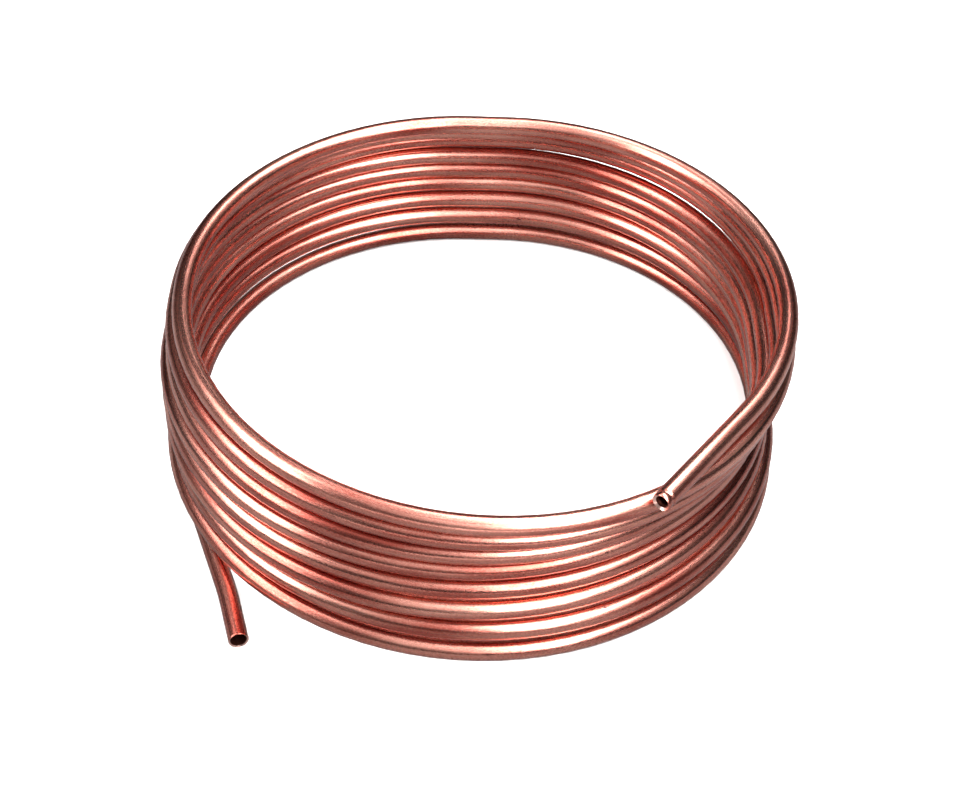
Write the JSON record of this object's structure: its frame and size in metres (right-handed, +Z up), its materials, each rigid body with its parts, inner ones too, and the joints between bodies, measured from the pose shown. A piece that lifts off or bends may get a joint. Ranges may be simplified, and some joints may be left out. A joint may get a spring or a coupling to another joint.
{
  "type": "copper tube coil",
  "caption": "One length of soft copper tube wound in a single-layer coil that lies on its end, with both open ends free for a fitting",
  "frame": {"origin": "On the coil's axis at floor level, under the lowest turn", "axes": "+Z up along the coil's axis, -Y towards the side where both free ends point, +X to the side where the top end leaves the winding"},
  "size_m": [0.3918, 0.4089, 0.1227],
  "materials": {
    "copper": "bright drawn copper, lightly tarnished, with fine scratches"
  },
  "bodies": {
    "root": {"copper_tube": "copper"}
  },
  "joints": []
}
